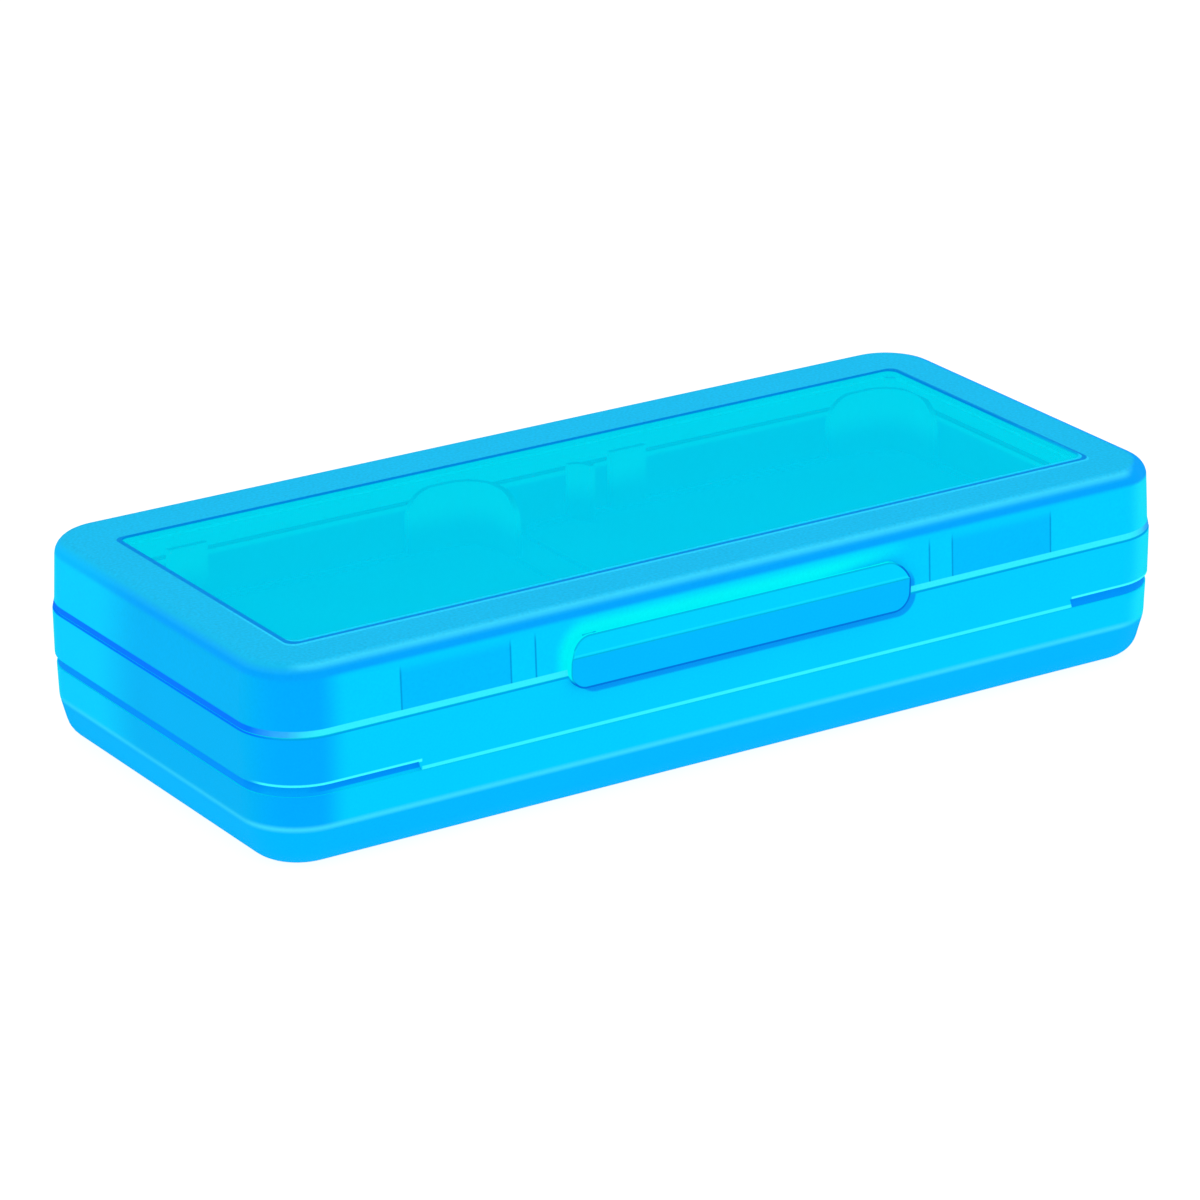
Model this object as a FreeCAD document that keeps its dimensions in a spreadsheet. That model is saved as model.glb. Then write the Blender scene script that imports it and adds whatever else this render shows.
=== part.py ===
"""Two-deck translucent pencil case: base, hinged middle deck with two trays, hinged lid, front latch.

Frame: millimetres, +X along the length, -Y to the front, +Z up, origin under the middle of the base.
"""
import FreeCAD, Part
import Sketcher
import math
import os
from FreeCAD import Vector

# Driving dimensions, kept in the spreadsheet under these names.
SIZES = {
    "case_length": 200.0,
    "case_depth": 90.2,
    "corner_radius": 11.7,
    "wall": 1.8,
    "thin_wall": 1.4,
    "gap": 0.35,
    "lip_slack": 0.25,
    # heights of the levels above the table
    "base_top": 14.8,
    "neck_top": 16.5,
    "deck_bottom": 16.8,
    "band_top": 26.04,
    "lid_bottom": 26.3,
    "lid_line": 27.6,
    "lip_top": 29.5,
    "lid_top": 39.46,
    # shell details
    "base_floor": 1.6,
    "wall_lean": 0.25,
    "foot_line": 8.2,
    "foot_draft": 15.0,
    "foot_fillet": 5.0,
    "crease_fillet": 6.0,
    "inner_draft": 4.5,
    "floor_fillet": 4.2,
    "ledge": 0.25,
    "neck_inset": 1.25,
    "neck_wall": 0.9,
    "band_proud": 0.3,
    "band_draft": 0.6,
    "skirt_left": -70.2,
    "skirt_right": 75.4,
    "skirt_slant": 0.6,
    "skirt_bottom": 15.1,
    "skirt_thick": 0.45,
    "skirt_root": 0.4,
    "rib_width": 6.2,
    "rib_height": 1.4,
    "lid_draft": 2.45,
    "lid_fillet": 3.2,
    "lid_flare": 0.27,
    "lid_plate": 2.4,
    "window_length": 176.8,
    "window_depth": 63.9,
    "window_radius": 2.2,
    "window_thick": 1.0,
    "window_recess": 0.4,
    "window_ledge": 1.2,
    "window_gap": 0.1,
    "relief_from": 49.0,
    "relief_to": 72.0,
    "relief_top": 36.3,
    "relief_deep": 0.8,
    "overcut": 1.0,
    "scribe_at": 43.7,
    "scribe_wide": 0.7,
    "scribe_top": 36.9,
    # hinges along the back
    "hinge_at": 62.0,
    "hinge_y": 48.15,
    "lid_axis_z": 26.2,
    "deck_axis_z": 15.8,
    "knuckle_radius": 1.9,
    "knuckle_mid": 9.0,
    "knuckle_side": 7.0,
    "knuckle_gap": 0.4,
    "arm_reach": 1.2,
    "arm_below": 2.2,
    "arm_clear": 0.2,
    "hinge_pin_radius": 0.8,
    "running_gap": 0.06,
    # latch on the front
    "latch_length": 75.4,
    "latch_middle": -0.9,
    "latch_top": 33.6,
    "latch_ridge": 30.2,
    "latch_foot": 23.6,
    "latch_top_radius": 4.8,
    "latch_foot_radius": 3.6,
    "latch_margin": 3.0,
    # how far the latch's faces stand off the lid's wall
    "latch_top_back": 0.42,
    "latch_top_out": 0.8,
    "latch_ridge_out": 1.95,
    "latch_foot_out": 1.7,
    "latch_back": 0.65,
    "latch_axis_y": -43.6,
    "latch_axis_z": 31.4,
    "latch_pin_radius": 0.5,
    "latch_pin_length": 8.0,
    "ear_at": 32.0,
    "ear_wide": 3.4,
    "ear_half": 1.0,
    "nib_length": 24.0,
    "nib_out": 0.3,
    "nib_low": 0.5,
    "nib_high": 1.5,
    "catch_depth": 0.3,
    "catch_height": 1.9,
    "boss_round": 1.3,
    # trays in the deck
    "tray_length": 92.3,
    "tray_depth": 82.0,
    "tray_middle": 49.75,
    "tray_radius": 7.6,
    "tray_wall": 1.2,
    "tray_floor": 1.0,
    "tray_rim": 1.8,
    "fin_top": 32.4,
    "small_fin_top": 31.4,
    "small_fin_from": -23.8,
    "small_fin_wide": 8.4,
    "wide_fin_from": 28.8,
    "wide_fin_front": 26.0,
    "fin_round": 6.0,
    "hook_at": -33.9,
    "hook_radius": 4.2,
    "hook_top": 31.0,
}

doc = FreeCAD.newDocument("pencil_case")
sheet = doc.addObject("Spreadsheet::Sheet", "Dims")
for row, (name, size) in enumerate(SIZES.items(), start=1):
    sheet.set(f"A{row}", str(size))
    sheet.setAlias(f"A{row}", name)
doc.recompute()


def dim(text):
    """Turn a formula in the sheet's names into an expression, such as 'case_length / 2'."""
    words = text.replace("(", " ( ").replace(")", " ) ").split()
    return " ".join("Dims." + word if word in SIZES else word for word in words)


def value(text):
    """The number that a formula in the sheet's names gives now."""
    return doc.Dims.evalExpression(dim(text))


# ---------------------------------------------------------------- sketches

def new_body(name):
    body = doc.addObject("PartDesign::Body", name)
    body.Label = name
    return body


def new_sketch(body, name, role, offset="0", x="0", y="0"):
    """A sketch on one of the body's own origin planes, moved by formulas."""
    sketch = body.newObject("Sketcher::SketchObject", name)
    plane = [item for item in body.Origin.OriginFeatures if item.Role == role][0]
    sketch.AttachmentSupport = [(plane, "")]
    sketch.MapMode = "FlatFace"
    sketch.setExpression("AttachmentOffset.Base.x", dim(x))
    sketch.setExpression("AttachmentOffset.Base.y", dim(y))
    sketch.setExpression("AttachmentOffset.Base.z", dim(offset))
    return sketch


def drive(sketch, constraint, name, formula):
    """Add a named constraint and bind it to a formula."""
    index = sketch.addConstraint(constraint)
    sketch.renameConstraint(index, name)
    sketch.setExpression("Constraints." + name, dim(formula))


def draw_rounded(sketch, length, depth, radius, tag="r"):
    """Draw a centred rounded rectangle."""
    half_x = value(length) / 2
    half_y = value(depth) / 2
    bend = value(radius)
    corners = [(1, -1, -90), (1, 1, 0), (-1, 1, 90), (-1, -1, 180)]
    arcs = []
    for side_x, side_y, start in corners:
        centre = Vector(side_x * (half_x - bend), side_y * (half_y - bend), 0)
        circle = Part.Circle(centre, Vector(0, 0, 1), bend)
        arcs.append(sketch.addGeometry(
            Part.ArcOfCircle(circle, math.radians(start), math.radians(start + 90))))
    lines = []
    for index, arc in enumerate(arcs):
        begin = sketch.getPoint(arc, 2)
        finish = sketch.getPoint(arcs[(index + 1) % 4], 1)
        lines.append(sketch.addGeometry(Part.LineSegment(begin, finish)))
    for index, line in enumerate(lines):
        after = arcs[(index + 1) % 4]
        sketch.addConstraint(Sketcher.Constraint("Tangent", arcs[index], 2, line, 1))
        sketch.addConstraint(Sketcher.Constraint("Tangent", line, 2, after, 1))
        direction = "Vertical" if index % 2 == 0 else "Horizontal"
        sketch.addConstraint(Sketcher.Constraint(direction, line))
    for arc in arcs[1:]:
        sketch.addConstraint(Sketcher.Constraint("Equal", arcs[0], arc))
    right, top, left, bottom = lines
    sketch.addConstraint(Sketcher.Constraint("Symmetric", right, 1, left, 1, -1, 1))
    drive(sketch, Sketcher.Constraint("DistanceX", left, 1, right, 2, 2 * half_x), tag + "_length", length)
    drive(sketch, Sketcher.Constraint("DistanceY", bottom, 1, top, 2, 2 * half_y), tag + "_depth", depth)
    drive(sketch, Sketcher.Constraint("Radius", arcs[0], bend), tag + "_radius", radius)


def draw_polygon(sketch, points, tag="p"):
    """Draw a closed polygon whose corners are pairs of formulas."""
    spots = [Vector(value(u), value(v), 0) for u, v in points]
    count = len(spots)
    lines = []
    for begin, finish in zip(spots, spots[1:] + spots[:1]):
        lines.append(sketch.addGeometry(Part.LineSegment(begin, finish)))
    for index, line in enumerate(lines):
        after = lines[(index + 1) % count]
        sketch.addConstraint(Sketcher.Constraint("Coincident", line, 2, after, 1))
        place_point(sketch, line, 1, points[index], f"{tag}{index}")


def place_point(sketch, line, end, point, tag):
    """Hold one end of a line at a pair of formulas, measured from the sketch's origin."""
    across, up = point
    drive(sketch, Sketcher.Constraint("DistanceX", -1, 1, line, end, value(across)), tag + "_u", across)
    drive(sketch, Sketcher.Constraint("DistanceY", -1, 1, line, end, value(up)), tag + "_v", up)


def draw_circle(sketch, radius, across="0", up="0", tag="c"):
    """Draw a circle whose centre and radius are formulas."""
    centre = Vector(value(across), value(up), 0)
    circle = sketch.addGeometry(Part.Circle(centre, Vector(0, 0, 1), value(radius)))
    drive(sketch, Sketcher.Constraint("Radius", circle, value(radius)), tag + "_radius", radius)
    drive(sketch, Sketcher.Constraint("DistanceX", -1, 1, circle, 3, value(across)), tag + "_u", across)
    drive(sketch, Sketcher.Constraint("DistanceY", -1, 1, circle, 3, value(up)), tag + "_v", up)


# ---------------------------------------------------------------- features

def add_pad(body, sketch, name, height, down=False, taper=None, middle=False):
    pad = body.newObject("PartDesign::Pad", name)
    pad.Profile = sketch
    pad.setExpression("Length", dim(height))
    pad.Reversed = down
    pad.Midplane = middle
    if taper:
        pad.setExpression("TaperAngle", dim(taper))
    sketch.Visibility = False
    doc.recompute()


def cut_pocket(body, sketch, name, depth, flip=False, taper=None, middle=False):
    """Pocket a sketch and make sure that it took something away."""
    before = body.Shape.Volume
    pocket = body.newObject("PartDesign::Pocket", name)
    pocket.Profile = sketch
    pocket.setExpression("Length", dim(depth))
    pocket.Reversed = flip
    pocket.Midplane = middle
    if taper:
        pocket.setExpression("TaperAngle", dim(taper))
    doc.recompute()
    if body.Shape.Volume >= before - 0.01:
        raise RuntimeError(f"{body.Label}.{name} cuts nothing")


def edges_at(body, height, keep=lambda box: True):
    """Names of the level edges at a height, which another test on their box may narrow."""
    names = []
    for index, edge in enumerate(body.Shape.Edges, start=1):
        box = edge.BoundBox
        level = abs(box.ZMin - height) < 0.01 and abs(box.ZMax - height) < 0.01
        if level and keep(box):
            names.append(f"Edge{index}")
    return names


def round_edges(body, name, edges, radius):
    base = body.Tip
    fillet = body.newObject("PartDesign::Fillet", name)
    fillet.Base = (base, edges)
    fillet.setExpression("Radius", dim(radius))
    doc.recompute()
    if not fillet.isValid():
        raise RuntimeError(f"{body.Label}.{name} failed on {len(edges)} edges")


def add_slab(body, name, x_range, y_range, z_range, cut=False):
    """Add or cut a straight-sided block given by formulas."""
    sketch = new_sketch(body, name + "_sketch", "XY_Plane", z_range[0])
    left, right = x_range
    front, back = y_range
    draw_polygon(sketch, [(left, front), (right, front), (right, back), (left, back)])
    height = f"( {z_range[1]} ) - ( {z_range[0]} )"
    if cut:
        cut_pocket(body, sketch, name, height, flip=True)
    else:
        add_pad(body, sketch, name, height)


def mirrored(low, high, side):
    """A span of x formulas on the left (-1) or right (+1) of the middle."""
    if side > 0:
        return (low, high)
    return (f"0 - ( {high} )", f"0 - ( {low} )")


# ---------------------------------------------------------------- hinges

SIDES = ((-1, "left"), (1, "right"))


def add_knuckle(body, name, start, length, axis_z, arm_z):
    """A barrel along X from start, with a solid arm that reaches into the wall in front of it."""
    arm_low, arm_high = arm_z
    stop = f"( {start} ) + ( {length} )"
    add_slab(body, name + "_arm", (start, stop), ("hinge_y - knuckle_radius - arm_reach", "hinge_y"),
             (arm_low, arm_high))
    sketch = new_sketch(body, name + "_ring", "YZ_Plane", start)
    draw_circle(sketch, "knuckle_radius", "hinge_y", axis_z)
    add_pad(body, sketch, name + "_barrel", length)


def add_hinge(body, prefix, outer, axis_z, arm_z, bore):
    """Knuckles of one leaf at both hinges: the outer pair or the middle one, with their bore."""
    for side, word in SIDES:
        centre = f"{side} * hinge_at"
        middle_start = f"{centre} - knuckle_mid / 2"
        if outer:
            left = f"{centre} - knuckle_mid / 2 - knuckle_gap - knuckle_side"
            right = f"{centre} + knuckle_mid / 2 + knuckle_gap"
            add_knuckle(body, f"{prefix}_{word}_a", left, "knuckle_side", axis_z, arm_z)
            add_knuckle(body, f"{prefix}_{word}_b", right, "knuckle_side", axis_z, arm_z)
        else:
            add_knuckle(body, f"{prefix}_{word}", middle_start, "knuckle_mid", axis_z, arm_z)
        start = f"{centre} - knuckle_mid / 2 - knuckle_gap - knuckle_side - overcut"
        sketch = new_sketch(body, f"{prefix}_{word}_bore_sketch", "YZ_Plane", start)
        draw_circle(sketch, bore, "hinge_y", axis_z)
        span = "knuckle_mid + 2 * knuckle_gap + 2 * knuckle_side + 2 * overcut"
        cut_pocket(body, sketch, f"{prefix}_{word}_bore", span, flip=True)


def pin_pair(name, radius, length, centres, axis_y, axis_z):
    """Two equal pins along X, centred on the left and right formulas, as one node."""
    pins = []
    for centre, (_side, word) in zip(centres, SIDES):
        pin = doc.addObject("Part::Cylinder", f"{name}_{word}")
        pin.setExpression("Radius", dim(radius))
        pin.setExpression("Height", dim(length))
        pin.setExpression("Placement.Base.x", dim(f"{centre} - ( {length} ) / 2"))
        pin.setExpression("Placement.Base.y", dim(axis_y))
        pin.setExpression("Placement.Base.z", dim(axis_z))
        pin.Placement.Rotation = FreeCAD.Rotation(Vector(0, 1, 0), 90)
        pins.append(pin)
    pair = doc.addObject("Part::Compound", name)
    pair.Links = pins
    pair.Label = name
    return pair


# ---------------------------------------------------------------- base

def make_base():
    """The lower tub: drafted walls, a stronger draft below the foot line, and a sloped neck on top."""
    body = new_body("base_tray")
    outline = new_sketch(body, "outline", "XY_Plane", "base_top")
    draw_rounded(outline, "case_length", "case_depth", "corner_radius")
    slope = slope_angle("wall_lean", "base_top - foot_line")
    add_pad(body, outline, "walls", "base_top - foot_line", down=True, taper=f"0 - {slope:.3f}")
    foot = new_sketch(body, "foot_outline", "XY_Plane", "foot_line")
    draw_rounded(foot, "case_length - 2 * wall_lean", "case_depth - 2 * wall_lean",
                 "corner_radius - wall_lean")
    add_pad(body, foot, "foot", "foot_line", down=True, taper="0 - foot_draft")
    round_edges(body, "foot_round", edges_at(body, 0), "foot_fillet")
    round_edges(body, "crease_round", edges_at(body, SIZES["foot_line"]), "crease_fillet")
    neck = new_sketch(body, "neck_outline", "XY_Plane", "base_top")
    draw_rounded(neck, "case_length - 2 * ledge", "case_depth - 2 * ledge", "corner_radius - ledge")
    slope = slope_angle("neck_inset - ledge", "neck_top - base_top")
    add_pad(body, neck, "neck", "neck_top - base_top", taper=f"0 - {slope:.3f}")
    inside = new_sketch(body, "inside_outline", "XY_Plane", "neck_top")
    inset = "( neck_inset + neck_wall )"
    draw_rounded(inside, f"case_length - 2 * {inset}", f"case_depth - 2 * {inset}",
                 f"corner_radius - {inset}")
    cut_pocket(body, inside, "inside", "neck_top - base_floor", taper="0 - inner_draft")
    round_edges(body, "floor_round", edges_at(body, SIZES["base_floor"]), "floor_fillet")
    add_hinge(body, "rear", True, "deck_axis_z",
              ("base_top - arm_below", "deck_axis_z - arm_clear"), "hinge_pin_radius")
    return body


def slope_angle(run, rise):
    """The angle from upright, in degrees, of a face that steps in by run over rise."""
    return math.degrees(math.atan2(value(run), value(rise)))


# ---------------------------------------------------------------- deck

def make_deck():
    """The middle deck: a tub whose rim turns down into an outer band, and a lip for the lid."""
    body = new_body("deck_tray")
    lip_inset = "2 * ( wall + gap + lip_slack )"
    tub_length = f"case_length - {lip_inset}"
    tub_depth = f"case_depth - {lip_inset}"
    tub_radius = "corner_radius - wall - gap - lip_slack"
    tub = new_sketch(body, "tub_outline", "XY_Plane", "deck_bottom")
    draw_rounded(tub, tub_length, tub_depth, tub_radius)
    add_pad(body, tub, "tub", "lip_top - deck_bottom")
    band = new_sketch(body, "band_outline", "XY_Plane", "deck_bottom")
    draw_rounded(band, "case_length + 2 * band_proud", "case_depth + 2 * band_proud",
                 "corner_radius + band_proud")
    add_pad(body, band, "band", "band_top - deck_bottom", taper="band_draft")
    half_x = SIZES["case_length"] / 2
    half_y = SIZES["case_depth"] / 2
    rim = edges_at(body, SIZES["band_top"],
                   lambda box: max(abs(box.XMin), abs(box.XMax)) > half_x
                   or max(abs(box.YMin), abs(box.YMax)) > half_y)
    round_edges(body, "band_round", rim, "gap")
    hollow = new_sketch(body, "hollow_outline", "XY_Plane", "deck_bottom")
    draw_rounded(hollow, "case_length + 2 * band_proud - 2 * thin_wall",
                 "case_depth + 2 * band_proud - 2 * thin_wall", "corner_radius + band_proud - thin_wall", "o")
    draw_rounded(hollow, tub_length, tub_depth, tub_radius, "i")
    cut_pocket(body, hollow, "hollow", "band_top - thin_wall - deck_bottom", flip=True)
    inside = new_sketch(body, "inside_outline", "XY_Plane", "lip_top")
    draw_rounded(inside, f"{tub_length} - 2 * thin_wall", f"{tub_depth} - 2 * thin_wall",
                 f"{tub_radius} - thin_wall")
    cut_pocket(body, inside, "inside", "lip_top - deck_bottom - thin_wall")
    floor_z = "deck_bottom + thin_wall"
    rib_end = f"( {tub_depth} ) / 2 - thin_wall / 2"
    add_slab(body, "centre_rib", ("0 - rib_width / 2", "rib_width / 2"), (f"0 - ( {rib_end} )", rib_end),
             (f"{floor_z} - thin_wall / 2", f"{floor_z} + rib_height"))
    skirt = new_sketch(body, "skirt_outline", "XZ_Plane", "case_depth / 2 + band_proud - skirt_thick")
    draw_polygon(skirt, [
        ("skirt_left + skirt_slant", "skirt_bottom"),
        ("skirt_right + skirt_slant", "skirt_bottom"),
        ("skirt_right", "deck_bottom + skirt_root"),
        ("skirt_left", "deck_bottom + skirt_root"),
    ])
    add_pad(body, skirt, "front_skirt", "skirt_thick")
    face = "0 - case_depth / 2 - band_proud"
    catch_half = "( nib_length / 2 + overcut )"
    add_slab(body, "catch_recess", (f"latch_middle - {catch_half}", f"latch_middle + {catch_half}"),
             (f"{face} - overcut", f"{face} + catch_depth"),
             ("latch_foot", "latch_foot + catch_height"), cut=True)
    add_hinge(body, "upper", True, "lid_axis_z",
              ("lid_axis_z - knuckle_radius", "lid_axis_z - arm_clear"), "hinge_pin_radius")
    add_hinge(body, "lower", False, "deck_axis_z",
              ("deck_bottom", "deck_axis_z + knuckle_radius"), "hinge_pin_radius + running_gap")
    return body


# ---------------------------------------------------------------- lid

def make_lid():
    """The lid: drafted walls, a softly rounded top with a window rebate, and the latch's bearings."""
    body = new_body("lid_frame")
    upper = new_sketch(body, "wall_outline", "XY_Plane", "lid_line")
    draw_rounded(upper, "case_length", "case_depth", "corner_radius")
    add_pad(body, upper, "walls", "lid_top - lid_line", taper="0 - lid_draft")
    flare = new_sketch(body, "flare_outline", "XY_Plane", "lid_bottom")
    draw_rounded(flare, "case_length + 2 * lid_flare", "case_depth + 2 * lid_flare",
                 "corner_radius + lid_flare")
    slope = slope_angle("lid_flare", "lid_line - lid_bottom")
    add_pad(body, flare, "flare", "lid_line - lid_bottom", taper=f"0 - {slope:.3f}")
    round_edges(body, "top_round", edges_at(body, SIZES["lid_top"]), "lid_fillet")
    inside = new_sketch(body, "inside_outline", "XY_Plane", "lid_bottom")
    draw_rounded(inside, "case_length - 2 * wall", "case_depth - 2 * wall", "corner_radius - wall")
    cut_pocket(body, inside, "inside", "lid_top - lid_plate - lid_bottom", flip=True, taper="0 - lid_draft")
    rebate = new_sketch(body, "rebate_outline", "XY_Plane", "lid_top")
    draw_rounded(rebate, "window_length", "window_depth", "window_radius")
    cut_pocket(body, rebate, "rebate", "window_recess + window_thick")
    opening = new_sketch(body, "opening_outline", "XY_Plane", "lid_top")
    draw_rounded(opening, "window_length - 2 * window_ledge", "window_depth - 2 * window_ledge",
                 "window_radius - window_ledge / 2")
    cut_pocket(body, opening, "opening", "lid_plate + overcut")
    inner_face = "0 - case_depth / 2 + wall"
    for side, word in SIDES:
        add_slab(body, f"relief_{word}", mirrored("relief_from", "relief_to", side),
                 (f"{inner_face} - relief_deep", f"{inner_face} + wall"),
                 ("lid_bottom - overcut", "relief_top"), cut=True)
        add_slab(body, f"scribe_{word}",
                 mirrored("scribe_at - scribe_wide / 2", "scribe_at + scribe_wide / 2", side),
                 (f"{inner_face} - relief_deep", f"{inner_face} + wall"),
                 ("lid_bottom - overcut", "scribe_top"), cut=True)
        add_latch_bearing(body, side, word, inner_face)
    add_hinge(body, "rear", False, "lid_axis_z",
              ("lid_bottom", "lid_axis_z + knuckle_radius"), "hinge_pin_radius + running_gap")
    return body


def add_latch_bearing(body, side, word, inner_face):
    """A boss inside the front wall with a slot for the latch's ear and a hole for its pin."""
    centre = f"latch_middle + {side} * ear_at"
    boss_half = "( latch_pin_length / 2 + overcut )"
    slot_half = "( ear_wide / 2 + gap )"
    add_slab(body, f"boss_{word}", (f"{centre} - {boss_half}", f"{centre} + {boss_half}"),
             (f"{inner_face} - wall / 4", "latch_axis_y + 1.2 * boss_round"),
             ("latch_axis_z - boss_round", "latch_axis_z + 1.5 * boss_round"))
    add_slab(body, f"slot_{word}", (f"{centre} - {slot_half}", f"{centre} + {slot_half}"),
             ("0 - case_depth / 2 - overcut", "latch_axis_y + 2 * boss_round"),
             ("latch_axis_z - ear_half - gap", "latch_axis_z + ear_half + 3 * gap"), cut=True)
    start = f"{centre} - latch_pin_length / 2"
    hole = new_sketch(body, f"pin_hole_{word}_sketch", "YZ_Plane", start)
    draw_circle(hole, "latch_pin_radius", "latch_axis_y", "latch_axis_z")
    cut_pocket(body, hole, f"pin_hole_{word}", "latch_pin_length", flip=True)


def make_window():
    """The clear panel that drops into the lid's rebate."""
    body = new_body("lid_window")
    outline = new_sketch(body, "outline", "XY_Plane", "lid_top - window_recess - window_thick")
    draw_rounded(outline, "window_length - 2 * window_gap", "window_depth - 2 * window_gap",
                 "window_radius - window_gap")
    add_pad(body, outline, "panel", "window_thick")
    return body


# ---------------------------------------------------------------- latch

def make_latch():
    """The pull tab: a ridged plate in front of the lid and deck, on two ears that swing on pins."""
    body = new_body("latch_tab")
    wall_y = "0 - case_depth / 2"
    profile = new_sketch(body, "profile", "YZ_Plane", "latch_middle")
    draw_polygon(profile, [
        (f"{wall_y} - latch_top_back", "latch_top"),
        (f"{wall_y} - latch_top_out", "latch_top"),
        (f"{wall_y} - latch_ridge_out", "latch_ridge"),
        (f"{wall_y} - latch_foot_out", "latch_foot"),
        (f"{wall_y} - latch_back", "latch_foot"),
        (f"{wall_y} - latch_back", "lid_bottom"),
        (f"{wall_y} - latch_top_back", "lid_line + gap"),
    ])
    add_pad(body, profile, "plate", "latch_length", middle=True)
    cut_latch_corners(body)
    for side, word in SIDES:
        add_latch_ear(body, side, word)
    add_slab(body, "nib", ("latch_middle - nib_length / 2", "latch_middle + nib_length / 2"),
             (f"{wall_y} - latch_back - gap", f"{wall_y} - latch_back + nib_out"),
             ("latch_foot + nib_low", "latch_foot + nib_high"))
    return body


def cut_latch_corners(body):
    """Trim the plate to its lozenge outline: large round corners on top, smaller ones below."""
    outline = new_sketch(body, "outline", "XZ_Plane", x="latch_middle")
    half = SIZES["latch_length"] / 2
    top = SIZES["latch_top"]
    foot = SIZES["latch_foot"]
    big = SIZES["latch_top_radius"]
    small = SIZES["latch_foot_radius"]
    margin = SIZES["latch_margin"]
    corners = [(half, foot, small, -90), (half, top, big, 0),
               (-half, top, big, 90), (-half, foot, small, 180)]
    for x, z, bend, start in corners:
        side = math.copysign(1, x)
        rise = 1 if z == top else -1
        centre = Vector(x - side * bend, z - rise * bend, 0)
        arc = outline.addGeometry(Part.ArcOfCircle(
            Part.Circle(centre, Vector(0, 0, 1), bend), math.radians(start), math.radians(start + 90)))
        first = outline.getPoint(arc, 1)
        last = outline.getPoint(arc, 2)
        loop = [last, last + outward(last, centre, margin), Vector(x + side * margin, z + rise * margin, 0),
                first + outward(first, centre, margin), first]
        for begin, finish in zip(loop, loop[1:]):
            outline.addGeometry(Part.LineSegment(begin, finish))
    cut_pocket(body, outline, "corners", "case_depth * 1.5", middle=True)


def outward(point, centre, distance):
    """A step from an arc's end, away from its centre."""
    step = point - centre
    step.normalize()
    return step * distance


def add_latch_ear(body, side, word):
    """An ear with a rounded end that reaches through the lid's slot, bored for its pin."""
    start = f"latch_middle + {side} * ear_at - ear_wide / 2"
    ear = new_sketch(body, f"ear_{word}_sketch", "YZ_Plane", start)
    root = "0 - case_depth / 2 - latch_top_out"
    draw_polygon(ear, [
        (root, "latch_axis_z - ear_half"),
        ("latch_axis_y", "latch_axis_z - ear_half"),
        ("latch_axis_y", "latch_axis_z + ear_half"),
        (root, "latch_axis_z + ear_half"),
    ])
    add_pad(body, ear, f"ear_{word}", "ear_wide")
    knob = new_sketch(body, f"knob_{word}_sketch", "YZ_Plane", start)
    draw_circle(knob, "ear_half", "latch_axis_y", "latch_axis_z")
    add_pad(body, knob, f"knob_{word}", "ear_wide")
    bore = new_sketch(body, f"bore_{word}_sketch", "YZ_Plane", start)
    draw_circle(bore, "latch_pin_radius + running_gap / 2", "latch_axis_y", "latch_axis_z")
    cut_pocket(body, bore, f"bore_{word}", "ear_wide", flip=True)


# ---------------------------------------------------------------- trays

def make_tray(name, side):
    """A low tray for half of the deck, with raised holding fins along its back."""
    body = new_body(name)
    middle = f"{side} * tray_middle"
    floor_z = "deck_bottom + thin_wall"
    outline = new_sketch(body, "outline", "XY_Plane", floor_z, x=middle)
    draw_rounded(outline, "tray_length", "tray_depth", "tray_radius")
    add_pad(body, outline, "block", f"fin_top - ( {floor_z} )")
    inside = new_sketch(body, "inside_outline", "XY_Plane", "fin_top", x=middle)
    draw_rounded(inside, "tray_length - 2 * tray_wall", "tray_depth - 2 * tray_wall",
                 "tray_radius - tray_wall")
    cut_pocket(body, inside, "inside", f"fin_top - ( {floor_z} ) - tray_floor")
    rim_z = f"{floor_z} + tray_rim"
    trim_back(body, middle, rim_z)
    trim_front(body, rim_z)
    add_hook(body, middle, f"{floor_z} + tray_floor")
    return body


def trim_back(body, middle, rim_z):
    """Cut the back wall down to the rim beside the narrow fin and the wide corner fin."""
    small_left = f"{middle} + small_fin_from"
    small_right = f"{small_left} + small_fin_wide"
    wide_left = f"{middle} + wide_fin_from"
    far_left = f"{middle} - tray_length / 2 - overcut"
    gaps = new_sketch(body, "back_gaps", "XZ_Plane")
    above = "fin_top + overcut"
    draw_polygon(gaps, [(far_left, rim_z), (small_left, rim_z), (small_left, "small_fin_top"),
                        (small_right, "small_fin_top"), (small_right, rim_z), (wide_left, rim_z),
                        (wide_left, above), (far_left, above)])
    cut_pocket(body, gaps, "back_trim", "case_depth * 2", middle=True)
    corner = [index for index, edge in enumerate(body.Shape.Edges, start=1)
              if is_fin_corner(edge, value(wide_left), SIZES["fin_top"])]
    round_edges(body, "fin_round_back", [f"Edge{index}" for index in corner], "fin_round")


def is_fin_corner(edge, x, z):
    """The short level edge at the top of the wide fin's free end."""
    box = edge.BoundBox
    near_x = abs(box.XMin - x) < 0.01 and abs(box.XMax - x) < 0.01
    near_z = abs(box.ZMin - z) < 0.01 and abs(box.ZMax - z) < 0.01
    return near_x and near_z and box.YMin > 0


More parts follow.
